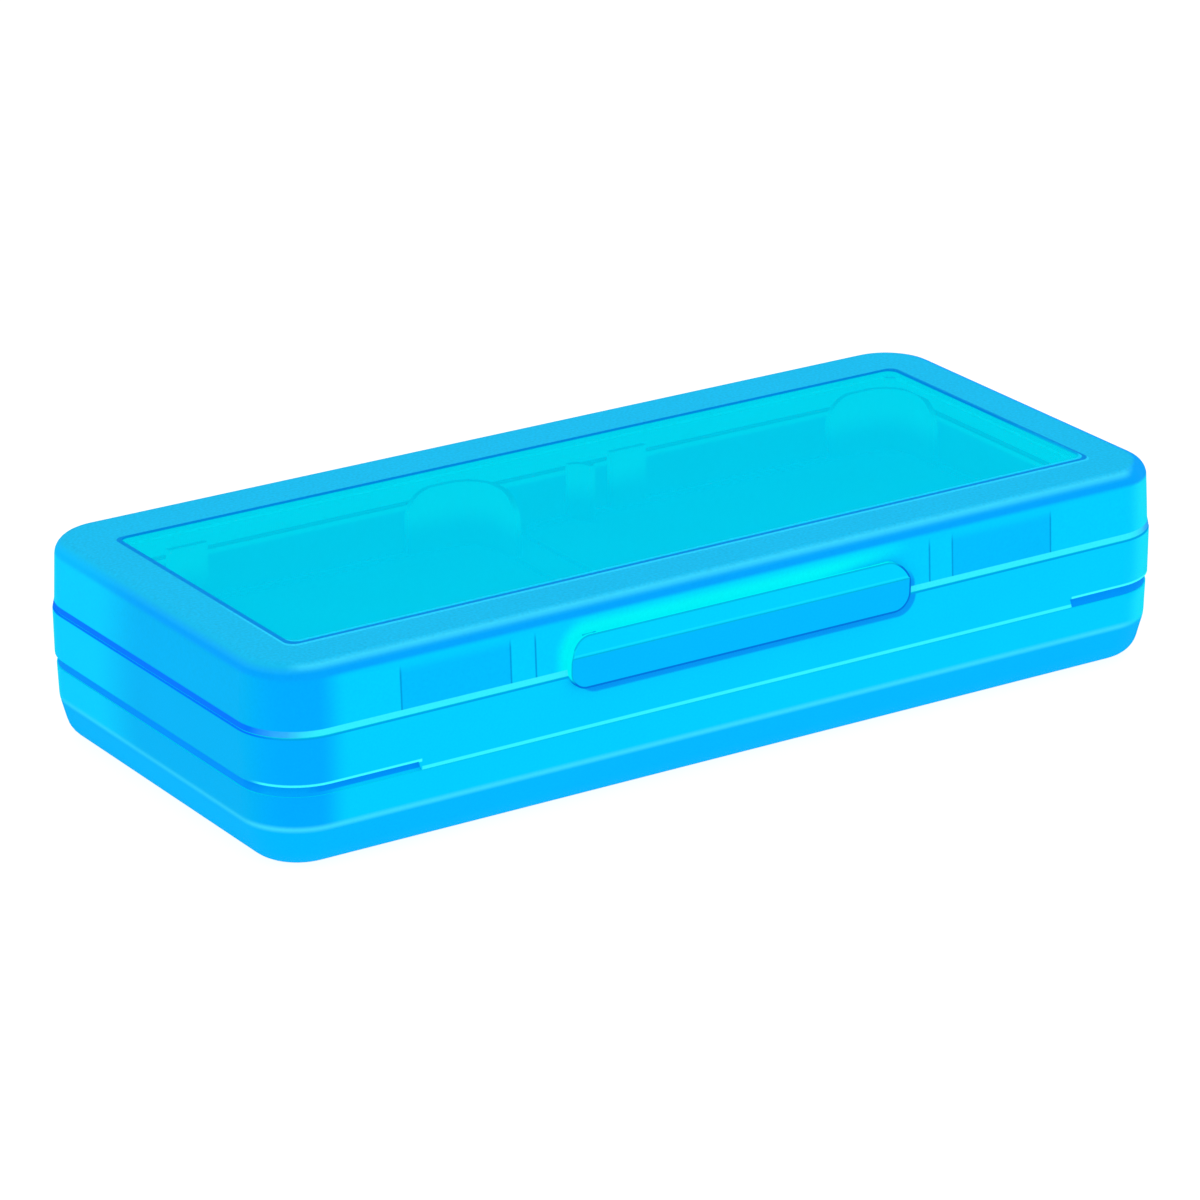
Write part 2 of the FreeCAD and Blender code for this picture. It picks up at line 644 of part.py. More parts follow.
def trim_front(body, rim_z):
    """Cut the side and front walls down to the rim in front of the wide fin, with a round end."""
    front = new_sketch(body, "front_gap", "YZ_Plane")
    reach = value("0 - tray_depth / 2 - overcut")
    above = value("fin_top + overcut")
    stop = SIZES["wide_fin_front"]
    bend = SIZES["fin_round"]
    top = SIZES["fin_top"]
    low = value(rim_z)
    centre = Vector(stop + bend, top - bend, 0)
    arc = Part.ArcOfCircle(Part.Circle(centre, Vector(0, 0, 1), bend), math.pi / 2, math.pi)
    corners = [Vector(stop, top - bend, 0), Vector(stop, low, 0), Vector(reach, low, 0),
               Vector(reach, above, 0), Vector(stop + bend, above, 0), Vector(stop + bend, top, 0)]
    front.addGeometry(arc)
    for begin, finish in zip(corners, corners[1:]):
        front.addGeometry(Part.LineSegment(begin, finish))
    cut_pocket(body, front, "front_trim", "case_length * 2", middle=True)


def add_hook(body, middle, base_z):
    """A quarter-round fin that stands off the back wall."""
    sketch = new_sketch(body, "hook_plan", "XY_Plane", base_z, x=middle)
    back = value("tray_depth / 2 - tray_wall / 2")
    outer = SIZES["hook_radius"]
    inner = outer - SIZES["tray_wall"]
    x = SIZES["hook_at"]
    centre = Vector(x, back - outer, 0)
    for radius in (outer, inner):
        sketch.addGeometry(Part.ArcOfCircle(Part.Circle(centre, Vector(0, 0, 1), radius), 0, math.pi / 2))
    sketch.addGeometry(Part.LineSegment(centre + Vector(inner, 0, 0), centre + Vector(outer, 0, 0)))
    sketch.addGeometry(Part.LineSegment(centre + Vector(0, outer, 0), centre + Vector(0, inner, 0)))
    add_pad(body, sketch, "hook", f"hook_top - ( {base_z} )")


# ---------------------------------------------------------------- assembly and export

def check_and_export(parts):
    """Stop on any failed object or bad solid, then write one STEP file for each sub-part."""
    doc.recompute()
    for item in doc.Objects:
        if "Invalid" in item.State or "Error" in item.State:
            raise RuntimeError(f"{item.Name} failed: {item.State}")
    os.makedirs("parts", exist_ok=True)
    for item in parts:
        if item.Shape.isNull() or not item.Shape.isValid():
            raise RuntimeError(f"{item.Label} has no valid shape")
        item.Shape.exportStep(f"parts/{item.Label}.step")
        box = item.Shape.BoundBox
        size = f"{box.XLength:.2f} x {box.YLength:.2f} x {box.ZLength:.2f}"
        print(f"{item.Label}: {len(item.Shape.Solids)} solid(s), {item.Shape.Volume:.0f} mm3, {size}, "
              f"z {box.ZMin:.2f} to {box.ZMax:.2f}")


HINGE_PIN_LENGTH = "knuckle_mid + 2 * knuckle_gap + 2 * knuckle_side"
HINGES = ("0 - hinge_at", "hinge_at")
EARS = ("latch_middle - ear_at", "latch_middle + ear_at")
check_and_export([
    make_base(),
    make_deck(),
    make_lid(),
    make_window(),
    make_latch(),
    make_tray("left_tray", -1),
    make_tray("right_tray", 1),
    pin_pair("lid_hinge_pins", "hinge_pin_radius", HINGE_PIN_LENGTH, HINGES, "hinge_y", "lid_axis_z"),
    pin_pair("deck_hinge_pins", "hinge_pin_radius", HINGE_PIN_LENGTH, HINGES, "hinge_y", "deck_axis_z"),
    pin_pair("latch_pins", "latch_pin_radius", "latch_pin_length", EARS, "latch_axis_y", "latch_axis_z"),
])
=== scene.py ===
"""Looks of the two-deck translucent pencil case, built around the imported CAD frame. Metres."""
import math

import bpy
from mathutils import Matrix, Vector


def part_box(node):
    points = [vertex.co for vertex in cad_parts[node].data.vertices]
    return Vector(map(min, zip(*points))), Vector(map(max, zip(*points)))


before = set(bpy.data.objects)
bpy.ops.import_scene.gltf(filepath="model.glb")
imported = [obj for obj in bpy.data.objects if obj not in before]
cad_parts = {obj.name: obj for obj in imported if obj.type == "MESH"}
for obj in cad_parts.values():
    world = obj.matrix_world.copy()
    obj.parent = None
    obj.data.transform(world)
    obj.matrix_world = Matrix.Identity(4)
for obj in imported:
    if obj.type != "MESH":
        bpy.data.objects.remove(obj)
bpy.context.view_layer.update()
MM = 0.001

# Camera: where the eye stands and how it is turned, in metres and degrees.
CAMERA_PLACE = Vector((-0.56472, -0.87679, 0.41777))
CAMERA_AZIMUTH = -32.681
CAMERA_ELEVATION = 20.954
CAMERA_ROLL = -0.414
CAMERA_LENS = 175.5
CAMERA_SENSOR = 36.0

# Levels of the case above the table, and a few details of its outline, as the CAD has them.
FOOT_LINE = 8.2 * MM
BASE_TOP = 14.8 * MM
SKIRT_BOTTOM = 15.1 * MM
DECK_BOTTOM = 16.8 * MM
LID_LINE = 27.6 * MM
RELIEF_TOP = 36.3 * MM
RELIEF_SPAN = (49.0 * MM, 72.0 * MM)
SCRIBE_AT = 43.7 * MM
LATCH_RIDGE = 30.2 * MM
LATCH_CROWN = 4.8 * MM
LATCH_FOOT = 3.6 * MM
LATCH_ROUND = (LATCH_CROWN + LATCH_FOOT) / 2
WINDOW_ROUND = 2.1 * MM
PANELS_LEFT = 1.2 * MM
SKIRT_SPAN = (-69.4 * MM, 75.9 * MM)
FLOOR_LEVEL = 19.2 * MM
LIP_TOP = 29.5 * MM
FIN_LEVEL = 32.4 * MM

# Where colours begin and end. Each pair runs from none of the colour to all of it.
LINE_WIDTH = 0.35 * MM
SOFT_EDGE = 0.1 * MM
LEFT_WALL_FADE = (2 * MM, 22 * MM)
LEFT_CORNER_FADE = (-84 * MM, -90.5 * MM)
OUTSIDE_REACH = 4 * MM
INNER = (0.6, 0.3)
CAST_SHIFT = Vector((2.3 * MM, 0, -1.7 * MM))
CAST_FADE = (32 * MM, 28 * MM)
CAST_EDGE = (0.15 * MM, -0.35 * MM)
HALO_SHIFT = Vector((0.9 * MM, 0, 0.2 * MM))
HALO_LEAN = 0.25
HALO_FADE = (24.5 * MM, 30 * MM)
HALO_EDGE = (3.9 * MM, 0.6 * MM)
SLOT_DEPTH = (-42.8 * MM, -43.4 * MM)
SLOT_HEIGHT = (31 * MM, 32 * MM)
PANEL_FADE = 2.5 * MM
FILLET_DROP = (4.6 * MM, 3.2 * MM)
FILLET_BEND = (0.04, 0.33)
FAINT_BACK = (-10 * MM, 30 * MM)
NEAR_HALF = (0.0, -25 * MM)

# Margins round the window in millimetres: left, right, front, back.
LIGHT_MARGINS = (1.6, 0.5, 2.6, 0.0)
DARK_MARGINS = (1.1, 0.6, 1.8, 0.3)
SEAT_MARGINS = (0.1, 0.1, 0.9, 0.0)
LEDGE_MARGINS = (0.3, 0.3, 0.3, 0.3)

# Studio and surface.
GLOSS_LEVEL = 0.03
FLOOR_SIZE = 8
FLOOR_DROP = 0.05 * MM
FLOOR_GREY = (0.2, 0.2, 0.2, 1)
FLOOR_LIGHT = 0.9
SATIN = 0.42
# Shares of the colour given out as painted glow (emission), on the outsides and on the plain insides.
OUTSIDE_GLOW = 0.35
INSIDE_GLOW = 0.88
LID_GRAIN = 0.06
BORDER_GRAIN = 0.14
GRAIN_DEPTH = 0.05 * MM
CLOUD_SCALE = 60.0
CLOUD_SWING = 0.05
WINDOW_ALPHA = 0.15
EDGE_WIDTH = 0.12 * MM
WELD_GAP = 0.002 * MM


def tint(red, green, blue):
    """A display colour, 0 to 1, as the linear colour that a shader takes."""
    return tuple(c / 12.92 if c <= 0.04045 else ((c + 0.055) / 1.055) ** 2.4
                 for c in (red, green, blue)) + (1.0,)


WALL = tint(0.0, 0.797, 0.996)
# Painted lighter tone and painted shade on the outer walls, by which way they face.
WALL_PAINTED_LIGHT = tint(0.055, 0.875, 0.98)
WALL_PAINTED_SHADE = tint(0.0, 0.665, 1.0)
WALL_LEFT_SHADE = tint(0.0, 0.70, 0.955)
# Painted shade under the lid's top fillet and the painted highlight along it, up to the grained border's own
# colour.
FILLET_SHADE = tint(0.012, 0.64, 0.985)
FILLET_LOW = tint(0.07, 0.68, 0.975)
FILLET_MIDDLE = tint(0.17, 0.77, 0.985)
FILLET_HIGHLIGHT = tint(0.21, 0.815, 0.98)
FILLET_HIGH = tint(0.14, 0.755, 0.945)
BORDER = tint(0.09, 0.725, 0.92)
# Painted highlight lines in front of the window.
BORDER_HIGHLIGHT_LINE = tint(0.15, 0.80, 0.98)
SEAT_HIGHLIGHT = tint(0.04, 0.80, 0.96)
PANEL = tint(0.0, 0.735, 0.99)
PANEL_LINE = tint(0.0, 0.61, 0.87)
# Painted light round the latch and on its lit sides.
PAINTED_GLOW = tint(0.0, 0.955, 0.98)
# Painted highlight and painted shade along the seam under the lid, and painted shade in the groove under the
# deck.
SEAM_HIGHLIGHT = tint(0.19, 0.925, 0.99)
SEAM_CORNER = tint(0.20, 0.70, 0.98)
SEAM_LEFT_SHADE = tint(0.0, 0.47, 1.0)
SEAM_SHADE = tint(0.0, 0.65, 0.925)
GROOVE_SHADE = tint(0.0, 0.60, 0.99)
# Painted highlights along the deck's lower edges.
EDGE_HIGHLIGHT = tint(0.235, 0.985, 1.0)
SKIRT_EDGE_HIGHLIGHT = tint(0.20, 0.95, 0.99)
# Painted shade on the foot and a painted highlight along its crease.
FOOT = tint(0.0, 0.715, 0.99)
FOOT_HIGHLIGHT = tint(0.23, 0.85, 0.99)
LATCH_FACE = tint(0.0, 0.81, 0.999)
# Latch colours: painted shade on its lower slope, a painted highlight on its ridge, painted shade at its
# right and foot, and its painted shadow on the wall.
LATCH_LOWER_SHADE = tint(0.0, 0.718, 0.995)
LATCH_RIDGE_HIGHLIGHT = tint(0.05, 0.86, 0.993)
LATCH_LINE = tint(0.0, 0.70, 0.87)
LATCH_SHADE = tint(0.0, 0.45, 0.85)
LATCH_CAST = tint(0.01, 0.61, 0.955)
INSIDE_HIGH = tint(0.005, 0.855, 0.94)
INSIDE_LOW = tint(0.0, 0.79, 0.92)
INSIDE_LINE = tint(0.0, 0.76, 0.88)
WINDOW = tint(0.0, 0.80, 0.92)
# Painted shade line round the window.
REBATE_SHADE_LINE = tint(0.0, 0.545, 0.87)
STEEL = tint(0.72, 0.74, 0.76)


# ---------------------------------------------------------------- camera and studio

def add_camera():
    """The camera, turned about the upright axis, then raised, then rolled."""
    azimuth = math.radians(CAMERA_AZIMUTH)
    elevation = math.radians(CAMERA_ELEVATION)
    back = Vector((math.sin(azimuth) * math.cos(elevation),
                   -math.cos(azimuth) * math.cos(elevation), math.sin(elevation)))
    right = (-back).cross(Vector((0, 0, 1))).normalized()
    up = back.cross(right)
    turn = Matrix((right, up, back)).transposed().to_4x4()
    turn = turn @ Matrix.Rotation(math.radians(CAMERA_ROLL), 4, "Z")
    data = bpy.data.cameras.new("camera")
    data.lens = CAMERA_LENS
    data.sensor_width = CAMERA_SENSOR
    data.clip_end = 20
    camera = bpy.data.objects.new("camera", data)
    camera.matrix_world = Matrix.Translation(CAMERA_PLACE) @ turn
    bpy.context.scene.collection.objects.link(camera)
    bpy.context.scene.camera = camera


def add_softbox(name, direction, distance, size, power):
    """A square area light that looks at the case from a direction."""
    data = bpy.data.lights.new(name, "AREA")
    data.shape = "SQUARE"
    data.size = size
    data.energy = power
    light = bpy.data.objects.new(name, data)
    light.location = Vector(direction).normalized() * distance
    light.rotation_euler = (-light.location).to_track_quat("-Z", "Y").to_euler()
    light.visible_glossy = False
    bpy.context.scene.collection.objects.link(light)


def add_world():
    """Even white light all round, dimmer where gloss reflects it."""
    world = bpy.data.worlds.new("studio")
    world.use_nodes = True
    tree = world.node_tree
    background = tree.nodes["Background"]
    background.inputs["Color"].default_value = (1, 1, 1, 1)
    rays = tree.nodes.new("ShaderNodeLightPath")
    level = tree.nodes.new("ShaderNodeMapRange")
    level.inputs["To Min"].default_value = 1.0
    level.inputs["To Max"].default_value = GLOSS_LEVEL
    tree.links.new(rays.outputs["Is Glossy Ray"], level.inputs["Value"])
    tree.links.new(level.outputs["Result"], background.inputs["Strength"])
    world.cycles.sampling_method = "NONE"
    bpy.context.scene.world = world


def add_floor():
    """A white table just under the case, clear when it is seen from below."""
    bpy.ops.mesh.primitive_plane_add(size=FLOOR_SIZE, location=(0, 0, -FLOOR_DROP))
    floor = bpy.context.object
    floor.name = "floor"
    floor.visible_glossy = False
    paint = bpy.data.materials.new("floor_paint")
    paint.use_nodes = True
    shader = paint.node_tree.nodes["Principled BSDF"]
    shader.inputs["Base Color"].default_value = FLOOR_GREY
    shader.inputs["Roughness"].default_value = 1.0
    shader.inputs["Specular IOR Level"].default_value = 0.0
    shader.inputs["Emission Color"].default_value = (1, 1, 1, 1)
    shader.inputs["Emission Strength"].default_value = FLOOR_LIGHT
    face = paint.node_tree.nodes.new("ShaderNodeNewGeometry")
    seen = paint.node_tree.nodes.new("ShaderNodeMath")
    seen.operation = "SUBTRACT"
    seen.inputs[0].default_value = 1.0
    paint.node_tree.links.new(face.outputs["Backfacing"], seen.inputs[1])
    paint.node_tree.links.new(seen.outputs[0], shader.inputs["Alpha"])
    floor.data.materials.append(paint)


def add_studio():
    """Plain white surroundings with two soft lights."""
    bpy.context.scene.view_settings.view_transform = "Standard"
    add_world()
    add_softbox("key_softbox", (0.50, 0.06, 0.86), 1.3, 0.7, 2.0)
    add_softbox("fill_softbox", (-0.75, 0.55, 0.55), 1.5, 0.5, 0.8)
    add_floor()


# ---------------------------------------------------------------- procedural plastic

class Plastic:
    """A moulded plastic whose colour, with much painted light and shade in it, is laid down coat by coat with
    masks in the part's own space.

    The glow is a share of the colour given out as emission: painted light standing in for the light that
    comes through the see-through walls from behind.
    """

    def __init__(self, name, ground, roughness, specular=0.01, glow=OUTSIDE_GLOW):
        self.glow = glow
        self.material = bpy.data.materials.new(name)
        self.material.use_nodes = True
        self.tree = self.material.node_tree
        self.shader = self.tree.nodes["Principled BSDF"]
        self.shader.inputs["Roughness"].default_value = roughness
        self.shader.inputs["Specular IOR Level"].default_value = specular
        self.coordinates = self.tree.nodes.new("ShaderNodeTexCoord")
        self.x, self.y, self.z = self.split("Object")
        self.nx, self.ny, self.nz = self.split("Normal")
        self.colour = ground

    def split(self, output):
        """The three parts of a texture coordinate."""
        node = self.tree.nodes.new("ShaderNodeSeparateXYZ")
        self.tree.links.new(self.coordinates.outputs[output], node.inputs[0])
        return tuple(node.outputs)

    def feed(self, slot, given):
        """Link a socket into a slot, or set the slot's value."""
        if isinstance(given, bpy.types.NodeSocket):
            self.tree.links.new(given, slot)
        elif isinstance(given, tuple):
            slot.default_value = given[:len(slot.default_value)]
        else:
            slot.default_value = given

    def math(self, operation, *given):
        """The result of a math node for sockets or numbers."""
        node = self.tree.nodes.new("ShaderNodeMath")
        node.operation = operation
        for slot, one in zip(node.inputs, given):
            self.feed(slot, one)
        return node.outputs[0]

    def rise(self, level, start, stop, top=1.0):
        """0 before start, top after stop, smooth between; start may lie above stop."""
        node = self.tree.nodes.new("ShaderNodeMapRange")
        node.interpolation_type = "SMOOTHSTEP"
        self.feed(node.inputs["Value"], level)
        node.inputs["From Min"].default_value = start
        node.inputs["From Max"].default_value = stop
        node.inputs["To Max"].default_value = top
        return node.outputs["Result"]

    def span(self, level, low, high, soft=SOFT_EDGE):
        """1 from low to high and 0 outside, with soft ends."""
        return self.both(self.rise(level, low - soft, low + soft),
                         self.rise(level, high + soft, high - soft))

    def both(self, *masks):
        """1 where all the masks are 1."""
        result = masks[0]
        for mask in masks[1:]:
            result = self.math("MULTIPLY", result, mask)
        return result

    def blend(self, mask, under, over):
        """One colour where a mask is 0, another where it is 1."""
        node = self.tree.nodes.new("ShaderNodeMix")
        node.data_type = "RGBA"
        self.feed(node.inputs["Factor"], mask)
        self.feed(node.inputs[6], under)
        self.feed(node.inputs[7], over)
        return node.outputs[2]

    def coat(self, colour, *masks):
        """Lay a colour where all the masks agree."""
        self.colour = self.blend(self.both(*masks), self.colour, colour)

    def ramp(self, level, stops):
        """A colour that changes along a level through (place, colour) stops."""
        node = self.tree.nodes.new("ShaderNodeValToRGB")
        self.feed(node.inputs[0], level)
        elements = node.color_ramp.elements
        while len(elements) < len(stops):
            elements.new(0.5)
        for element, (place, colour) in zip(elements, stops):
            element.position = place
            element.color = colour
        return node.outputs[0]

    def outward(self):
        """1 on faces that look away from the case's middle."""
        reach = self.math("ADD", self.math("MULTIPLY", self.x, self.nx),
                          self.math("MULTIPLY", self.y, self.ny))
        return self.rise(reach, 0.0, OUTSIDE_REACH)

    def side(self, axis, sign):
        """1 on walls that face one way along an axis."""
        return self.rise(self.math("MULTIPLY", axis, sign), 0.55, 0.93)

    def round_gap(self, spans, bend):
        """Distance in metres from a rounded rectangle, given as two (level, first, last) spans."""
        steps = []
        for level, first, last in spans:
            off = self.math("ABSOLUTE", self.math("SUBTRACT", level, (first + last) / 2))
            past = self.math("SUBTRACT", off, (last - first) / 2 - bend)
            steps.append(self.math("POWER", self.math("MAXIMUM", past, 0.0), 2.0))
        return self.math("SUBTRACT", self.math("SQRT", self.math("ADD", *steps)), bend)

    def heading(self):
        """1 where the surface looks to the front in plan, 0 where it looks sideways, -1 to the back."""
        squares = self.math("ADD", self.math("MULTIPLY", self.nx, self.nx),
                            self.math("MULTIPLY", self.ny, self.ny))
        length = self.math("MAXIMUM", self.math("SQRT", squares), 0.001)
        return self.math("MULTIPLY", self.math("DIVIDE", self.ny, length), -1.0)

    def walls(self):
        """Painted light and shade on the outer walls: painted shade at the left-front and right-back corners
        and along the front of the left wall, a painted lighter tone at the right-front and left-back corners.
        """
        corner = self.math("MULTIPLY", self.math("MULTIPLY", self.nx, self.ny), 2.0)
        forward = self.heading()
        outside = self.outward()
        along = self.rise(self.y, *LEFT_WALL_FADE)
        self.coat(self.blend(along, WALL_LEFT_SHADE, WALL), outside, self.rise(self.nx, -0.1, -0.7))
        self.coat(WALL_PAINTED_SHADE, outside, self.rise(corner, 0.05, 0.95), self.rise(self.nx, 0.0, 0.1))
        self.coat(WALL_PAINTED_SHADE, outside, self.rise(self.x, *LEFT_CORNER_FADE), self.rise(forward, 0.1, 0.85))
        self.coat(WALL_PAINTED_LIGHT, outside, self.rise(corner, -0.15, -0.95))

    def glow_more(self, share, mask):
        """Raise the painted glow, the emitted share of the colour, to a share where a mask is 1."""
        node = self.tree.nodes.new("ShaderNodeMapRange")
        self.feed(node.inputs["Value"], mask)
        self.feed(node.inputs["To Min"], self.glow)
        node.inputs["To Max"].default_value = share
        self.glow = node.outputs["Result"]

    def scaled(self, colour, amount):
        """A colour made brighter or darker by an amount."""
        node = self.tree.nodes.new("ShaderNodeVectorMath")
        node.operation = "SCALE"
        self.feed(node.inputs[0], colour)
        self.feed(node.inputs["Scale"], amount)
        return node.outputs[0]

    def finish(self, grain=0.05, bump=0.05, scale=2600.0):
        """Join the colour to the shader, with a fine mould grain, giving out the glow's share as painted
        emission; the grain may be a mask.
        """
        noise = self.tree.nodes.new("ShaderNodeTexNoise")
        noise.inputs["Scale"].default_value = scale
        noise.inputs["Detail"].default_value = 2.0
        self.tree.links.new(self.coordinates.outputs["Object"], noise.inputs["Vector"])
        cloud = self.tree.nodes.new("ShaderNodeTexNoise")
        cloud.inputs["Scale"].default_value = CLOUD_SCALE
        self.tree.links.new(self.coordinates.outputs["Object"], cloud.inputs["Vector"])
        fine = self.math("MULTIPLY_ADD", noise.outputs["Fac"], self.math("MULTIPLY", grain, 2.0),
                         self.math("SUBTRACT", 1.0, grain))
        broad = self.math("MULTIPLY_ADD", cloud.outputs["Fac"], CLOUD_SWING, 1.0 - CLOUD_SWING / 2)
        grained = self.scaled(self.colour, self.math("MULTIPLY", fine, broad))
        # The glow's share of the colour goes out as emission: painted light.
        lit = self.math("SUBTRACT", 1.0, self.glow)
        self.feed(self.shader.inputs["Base Color"], self.scaled(grained, lit))
        self.feed(self.shader.inputs["Emission Color"], self.scaled(grained, self.glow))
        self.shader.inputs["Emission Strength"].default_value = 1.0
        relief = self.tree.nodes.new("ShaderNodeBump")
        relief.inputs["Strength"].default_value = bump
        relief.inputs["Distance"].default_value = GRAIN_DEPTH
        self.tree.links.new(noise.outputs["Fac"], relief.inputs["Height"])
        self.tree.links.new(relief.outputs[0], self.shader.inputs["Normal"])
        return self.material


def outside_front(plastic):
    """Mask of the upright outer front wall."""
    return plastic.both(plastic.side(plastic.ny, -1), plastic.outward())


def latch_gap(plastic, latch, shift, bend):
    """Distance in the front's plane from the latch's outline, moved aside by a shift."""
    low, high = (corner + shift for corner in latch)
    return plastic.round_gap(((plastic.x, low.x, high.x), (plastic.z, low.z, high.z)), bend)


def add_cast(plastic, latch):
    """The shade that the latch throws on the wall, down and to the right of it."""
    gap = latch_gap(plastic, latch, CAST_SHIFT, LATCH_ROUND)
    plastic.coat(LATCH_CAST, outside_front(plastic), plastic.rise(plastic.z, *CAST_FADE),
                 plastic.rise(gap, *CAST_EDGE))


def add_glow(plastic, latch):
    """The painted light halo, with raised painted glow, above and to the left of the latch, on the wall and
    in the slots of its ears.
    """
    gap = latch_gap(plastic, latch, HALO_SHIFT, LATCH_ROUND)
    slant = plastic.math("SUBTRACT", plastic.z, plastic.math("MULTIPLY", plastic.x, HALO_LEAN))
    slots = plastic.both(plastic.rise(plastic.y, *SLOT_DEPTH), plastic.rise(plastic.z, *SLOT_HEIGHT))
    halo = plastic.both(plastic.math("MAXIMUM", outside_front(plastic), slots),
                        plastic.rise(slant, *HALO_FADE), plastic.rise(gap, *HALO_EDGE))
    plastic.coat(PAINTED_GLOW, halo)
    plastic.glow_more(INSIDE_GLOW, halo)


def add_panels(plastic):
    """The two thinner panels and the scribe lines inside the lid's front wall, seen through it."""
    front = outside_front(plastic)
    across = plastic.math("ABSOLUTE", plastic.math("ADD", plastic.x, PANELS_LEFT))
    height = plastic.rise(plastic.z, RELIEF_TOP, RELIEF_TOP - PANEL_FADE)
    start, stop = RELIEF_SPAN
    plastic.coat(PANEL, front, height, plastic.span(across, start, stop))
    for place in (SCRIBE_AT, start, stop):
        line = plastic.span(across, place - LINE_WIDTH / 2, place + LINE_WIDTH / 2, 0.08 * MM)
        plastic.coat(PANEL_LINE, front, height, line)


def add_fillet(plastic, high):
    """The rounded top edge: a painted shade band below, and a painted highlight above it along the front."""
    along_front = plastic.rise(plastic.heading(), 0.75, 0.97)
    bright = plastic.ramp(plastic.nz, [(0.50, FILLET_SHADE), (0.62, FILLET_LOW), (0.74, FILLET_MIDDLE),
                                       (0.85, FILLET_HIGHLIGHT), (0.95, FILLET_HIGH), (0.99, BORDER)])
    quiet = plastic.ramp(plastic.nz, [(0.45, FILLET_SHADE), (0.62, FILLET_LOW), (0.85, BORDER)])
    above = plastic.rise(plastic.z, *(high.z - drop for drop in FILLET_DROP))
    faint = plastic.both(plastic.rise(plastic.nx, -0.3, -0.9), plastic.rise(plastic.y, *FAINT_BACK, 0.5))
    bend = plastic.rise(plastic.nz, *FILLET_BEND)
    plastic.coat(plastic.blend(along_front, quiet, bright), above, bend, plastic.math("SUBTRACT", 1.0, faint))
    plastic.coat(FILLET_SHADE, above, bend, plastic.rise(plastic.nx, 0.04, 0.26), plastic.outward())


def inside_window(plastic, margins):
    """Mask of the window's outline in plan, grown by a margin in millimetres on each side."""
    start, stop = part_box("lid_window")
    left, right, front, back = margins
    gap = plastic.round_gap(((plastic.x, start.x - left * MM, stop.x + right * MM),
                             (plastic.y, start.y - front * MM, stop.y + back * MM)), WINDOW_ROUND)
    return plastic.rise(gap, 0.05 * MM, -0.05 * MM)


def add_rebate(plastic, high):
    """The window's seat: a painted highlight line in front, a painted shade line inside it, and the ledge
    below, lifted by painted glow.
    """
    top = plastic.rise(plastic.z, high.z - 0.5 * MM, high.z - 0.4 * MM)
    near = plastic.rise(plastic.y, *NEAR_HALF)
    plastic.coat(BORDER_HIGHLIGHT_LINE, top, near, inside_window(plastic, LIGHT_MARGINS))
    plastic.coat(REBATE_SHADE_LINE, top, inside_window(plastic, DARK_MARGINS))
    plastic.coat(SEAT_HIGHLIGHT, top, near, inside_window(plastic, SEAT_MARGINS))
    ledge = plastic.both(plastic.rise(plastic.z, high.z - 0.8 * MM, high.z - 1.0 * MM),
                         inside_window(plastic, LEDGE_MARGINS))
    plastic.coat(INSIDE_HIGH, ledge)
    plastic.glow_more(INSIDE_GLOW, ledge)


def lid_plastic(latch):
    """Frosted lid: walls outside with painted light and shade, the latch's painted halo and shadow, a grained
    border on top, and a plain inside lifted by painted glow.
    """
    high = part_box("lid_frame")[1]
    plastic = Plastic("lid_plastic", WALL, SATIN)
    plastic.walls()
    add_panels(plastic)
    add_glow(plastic, latch)
    add_cast(plastic, latch)
    add_fillet(plastic, high)
    # The strip along the lid's lower edge: painted highlight where it faces the front, painted shade where it
    # faces left.
    facing = plastic.math("MAXIMUM", plastic.heading(), plastic.nx)
    seam = plastic.ramp(facing, [(0.3, SEAM_LEFT_SHADE), (0.8, SEAM_CORNER), (0.99, SEAM_HIGHLIGHT)])
    plastic.coat(seam, plastic.outward(), plastic.rise(plastic.z, LID_LINE - 0.15 * MM, LID_LINE - 0.3 * MM))
    # The inside: lifted by painted glow so that it shows little shading.
    inner = plastic.both(plastic.rise(plastic.outward(), *INNER), plastic.rise(plastic.nz, 0.6, 0.4))
    plastic.coat(INSIDE_HIGH, inner)
    plastic.glow_more(INSIDE_GLOW, inner)
    add_rebate(plastic, high)
    coarse = plastic.rise(plastic.nz, 0.8, 0.97, BORDER_GRAIN)
    return plastic.finish(grain=plastic.math("ADD", coarse, LID_GRAIN), bump=0.12, scale=1700.0)


def over_skirt(plastic):
    """1 on the front where the deck's skirt hangs, 0 beside it."""
    return plastic.both(plastic.span(plastic.x, *SKIRT_SPAN), plastic.rise(plastic.heading(), 0.8, 0.95))


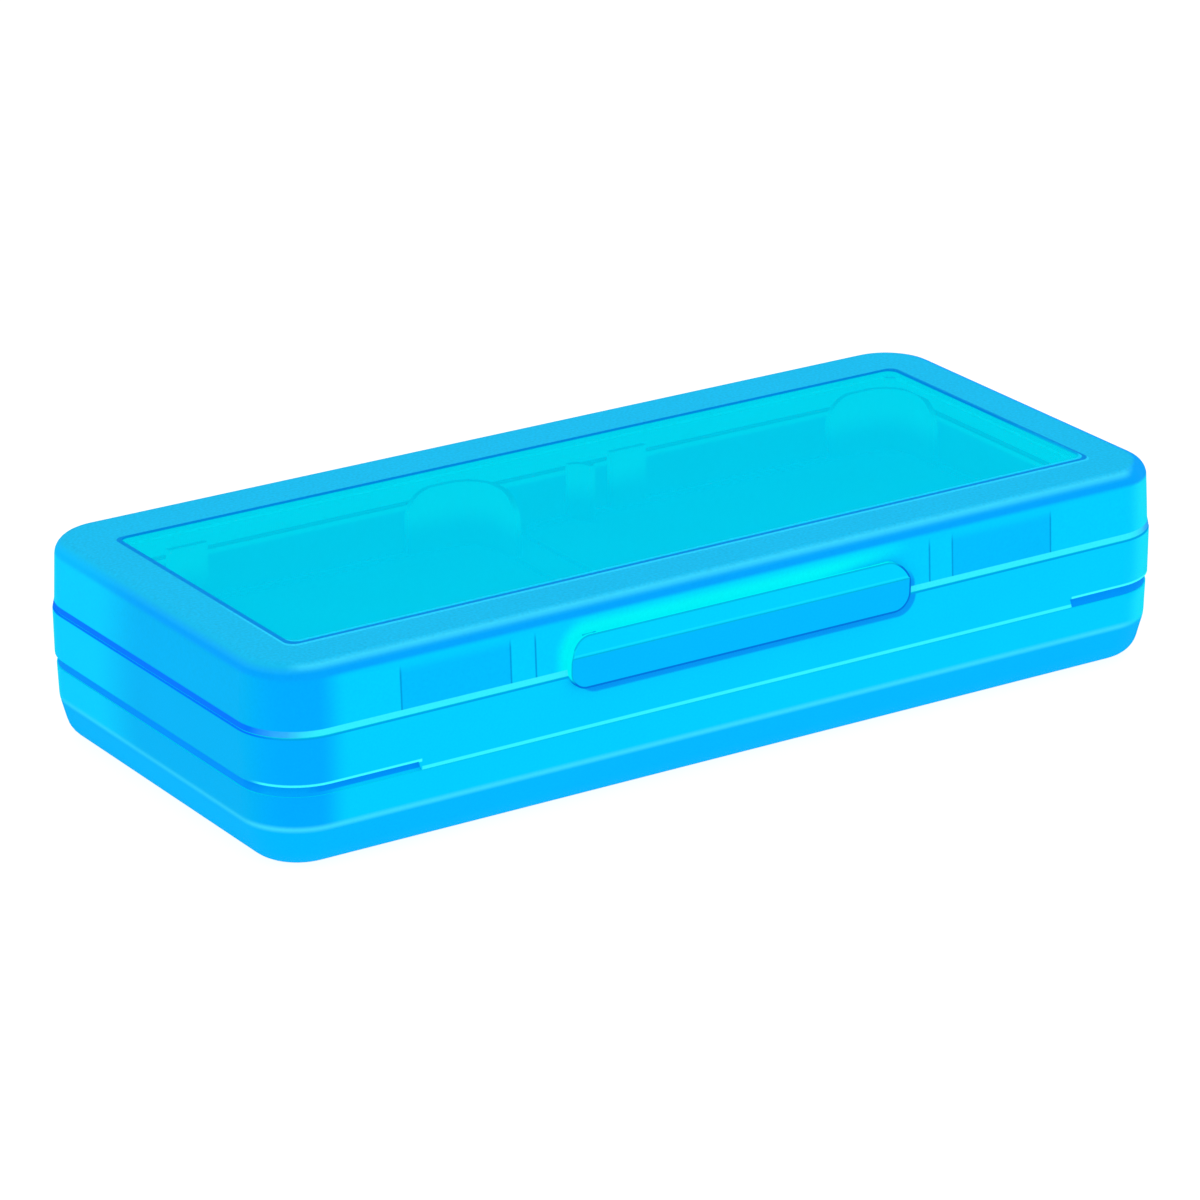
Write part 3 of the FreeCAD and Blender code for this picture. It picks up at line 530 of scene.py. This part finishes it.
def deck_plastic(latch):
    """Satin band with painted highlights along its lower edge and the skirt's, painted shade on its rim in
    the seam and the latch's painted shadow on its front, and a plain inside lifted by painted glow.
    """
    plastic = Plastic("deck_plastic", WALL, SATIN)
    plastic.walls()
    add_cast(plastic, latch)
    outside = plastic.outward()
    on_skirt = over_skirt(plastic)
    off_skirt = plastic.math("SUBTRACT", 1.0, on_skirt)
    toward_front = plastic.rise(plastic.heading(), 0.25, 0.6)
    # Painted highlights along the band's lower edge and the skirt's lower edge.
    plastic.coat(EDGE_HIGHLIGHT, outside, off_skirt, toward_front,
                 plastic.span(plastic.z, DECK_BOTTOM - 0.1 * MM, DECK_BOTTOM + 0.45 * MM, 0.08 * MM))
    plastic.coat(SKIRT_EDGE_HIGHLIGHT, outside, on_skirt,
                 plastic.rise(plastic.z, SKIRT_BOTTOM + 0.75 * MM, SKIRT_BOTTOM + 0.6 * MM))
    inner = plastic.math("MAXIMUM", plastic.rise(outside, *INNER), plastic.rise(plastic.nz, 0.5, 0.8))
    plastic.coat(INSIDE_LOW, inner)
    plastic.coat(INSIDE_HIGH, inner, plastic.rise(plastic.z, LIP_TOP - 1.6 * MM, LIP_TOP - 0.9 * MM))
    plastic.coat(INSIDE_LINE, plastic.rise(plastic.z, LIP_TOP - 0.35 * MM, LIP_TOP - 0.2 * MM))
    # The band's rim in the seam under the lid: painted shade, with raised painted glow.
    rim = plastic.both(outside, plastic.rise(plastic.nz, 0.2, 0.6),
                       plastic.rise(plastic.z, LID_LINE, LID_LINE - 1 * MM))
    seam = plastic.blend(plastic.rise(plastic.heading(), 0.3, 0.8), SEAM_LEFT_SHADE, SEAM_SHADE)
    plastic.coat(seam, rim)
    plastic.glow_more(INSIDE_GLOW, plastic.math("MAXIMUM", inner, rim))
    return plastic.finish()


def base_plastic():
    """Satin tub with painted shade on the foot and a painted highlight along its crease, painted shade in the
    groove under the deck, and a plain inside lifted by painted glow.
    """
    plastic = Plastic("base_plastic", WALL, SATIN)
    plastic.walls()
    outside = plastic.outward()
    # Painted shade on the down-sloping foot, and a painted highlight along the crease above it.
    plastic.coat(FOOT, plastic.rise(plastic.z, FOOT_LINE + 0.4 * MM, FOOT_LINE - 0.6 * MM))
    gleam = plastic.span(plastic.z, FOOT_LINE - 0.2 * MM, FOOT_LINE + 0.6 * MM, 0.5 * MM)
    heading = plastic.heading()
    plastic.coat(FOOT_HIGHLIGHT, outside, gleam, plastic.rise(plastic.nx, 0.5, -0.1),
                 plastic.rise(heading, -0.7, 0.6))
    # Painted shade in the groove under the deck, with the painted wall shade at the left-front corner; the
    # wall's colour, lifted by painted glow, where the skirt hides it.
    thinner = plastic.both(plastic.rise(heading, 0.2, 0.7),
                           plastic.rise(plastic.x, 60 * MM, -60 * MM, 0.5 * MM))
    level = plastic.math("SUBTRACT", plastic.z, thinner)
    neck = plastic.rise(level, BASE_TOP - SOFT_EDGE, BASE_TOP + SOFT_EDGE)
    corner = plastic.both(plastic.rise(heading, 0.2, 0.5), plastic.rise(heading, 0.995, 0.93),
                          plastic.rise(plastic.nx, 0.0, -0.2))
    plastic.coat(plastic.blend(corner, GROOVE_SHADE, WALL_PAINTED_SHADE), neck)
    hidden = plastic.both(neck, over_skirt(plastic))
    plastic.coat(WALL, hidden)
    inner = plastic.both(plastic.rise(outside, *INNER), plastic.rise(plastic.z, 0.5 * MM, 1.0 * MM),
                         plastic.rise(plastic.nz, -0.6, -0.3))
    plastic.coat(INSIDE_LOW, inner)
    plastic.coat(INSIDE_HIGH, inner, plastic.rise(plastic.z, 6 * MM, BASE_TOP))
    plastic.glow_more(INSIDE_GLOW, plastic.math("MAXIMUM", hidden, inner))
    return plastic.finish()


def latch_plastic(latch):
    """Satin tab: painted shade on the slope below the ridge, a painted highlight on the ridge, a fine
    outline, painted shade at its right and its foot, and painted light with raised glow on its top and left
    sides.
    """
    low, high = latch
    plastic = Plastic("latch_plastic", LATCH_FACE, 0.40)
    plastic.coat(LATCH_LOWER_SHADE, plastic.rise(plastic.z, LATCH_RIDGE - 0.1 * MM, LATCH_RIDGE - 0.35 * MM))
    plastic.coat(LATCH_LINE, plastic.span(plastic.z, LATCH_RIDGE - 0.4 * MM, LATCH_RIDGE - 0.15 * MM,
                                          0.12 * MM))
    plastic.coat(LATCH_RIDGE_HIGHLIGHT, plastic.span(plastic.z, LATCH_RIDGE, LATCH_RIDGE + 0.3 * MM, 0.15 * MM))
    crown, foot = (latch_gap(plastic, latch, Vector(), bend) for bend in (LATCH_CROWN, LATCH_FOOT))
    upper = plastic.rise(plastic.z, LATCH_RIDGE - SOFT_EDGE, LATCH_RIDGE + SOFT_EDGE)
    gap = plastic.math("ADD", foot, plastic.math("MULTIPLY", upper, plastic.math("SUBTRACT", crown, foot)))
    plastic.coat(LATCH_LINE, plastic.rise(gap, -0.45 * MM, -0.2 * MM, 0.8))
    right = plastic.rise(plastic.x, high.x - 4 * MM, high.x - 2.5 * MM)
    below = plastic.rise(plastic.z, low.z + 2.2 * MM, low.z + 1.2 * MM)
    plastic.coat(LATCH_SHADE, plastic.math("MAXIMUM", right, below), plastic.rise(gap, -0.45 * MM, -0.3 * MM),
                 plastic.rise(plastic.z, high.z - 0.3 * MM, high.z - 1.5 * MM))
    plastic.coat(LATCH_SHADE, plastic.rise(plastic.nx, 0.5, 0.8))
    # Painted light on the latch's top and left sides.
    lit = plastic.rise(plastic.math("SUBTRACT", plastic.nz, plastic.nx), 0.45, 0.75)
    plastic.coat(PAINTED_GLOW, lit)
    plastic.glow_more(INSIDE_GLOW, lit)
    return plastic.finish()


def tray_plastic():
    """Smooth tray, lighter towards the tops of its fins, with a darker rim; most of its colour is given out
    as painted glow.
    """
    plastic = Plastic("tray_plastic", INSIDE_LOW, 0.45, glow=INSIDE_GLOW)
    plastic.coat(INSIDE_HIGH, plastic.rise(plastic.z, FLOOR_LEVEL + 3 * MM, FIN_LEVEL - 4 * MM))
    plastic.coat(INSIDE_LINE, plastic.rise(plastic.nz, 0.3, 0.9),
                 plastic.rise(plastic.z, LIP_TOP - 1 * MM, LIP_TOP))
    return plastic.finish()


def window_plastic():
    """Clear tinted panel."""
    plastic = Plastic("window_plastic", WINDOW, 0.2, glow=0.0)
    plastic.shader.inputs["Alpha"].default_value = WINDOW_ALPHA
    return plastic.finish(grain=0.01, bump=0.01)


def pin_steel():
    """Drawn steel wire."""
    plastic = Plastic("pin_steel", STEEL, 0.3, 0.5, glow=0.0)
    plastic.shader.inputs["Metallic"].default_value = 1.0
    return plastic.finish(grain=0.08, bump=0.1)


# ---------------------------------------------------------------- pieces

def soften_edges(item, width):
    """Weld the mesh's seams and round its sharp edges a little."""
    weld = item.modifiers.new("weld", "WELD")
    weld.merge_threshold = WELD_GAP
    bevel = item.modifiers.new("soft_edges", "BEVEL")
    bevel.width = width
    bevel.segments = 2
    bevel.limit_method = "ANGLE"
    bevel.angle_limit = math.radians(30)
    bevel.harden_normals = True


add_camera()
add_studio()
latch_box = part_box("latch_tab")
tray_look = tray_plastic()
looks = {
    "base_tray": base_plastic(),
    "deck_tray": deck_plastic(latch_box),
    "lid_frame": lid_plastic(latch_box),
    "lid_window": window_plastic(),
    "latch_tab": latch_plastic(latch_box),
    "left_tray": tray_look,
    "right_tray": tray_look,
}
steel = pin_steel()
for node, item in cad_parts.items():
    item.data.materials.clear()
    item.data.materials.append(looks.get(node, steel))
    if node in ("base_tray", "deck_tray", "lid_frame", "latch_tab", "lid_window"):
        soften_edges(item, EDGE_WIDTH)
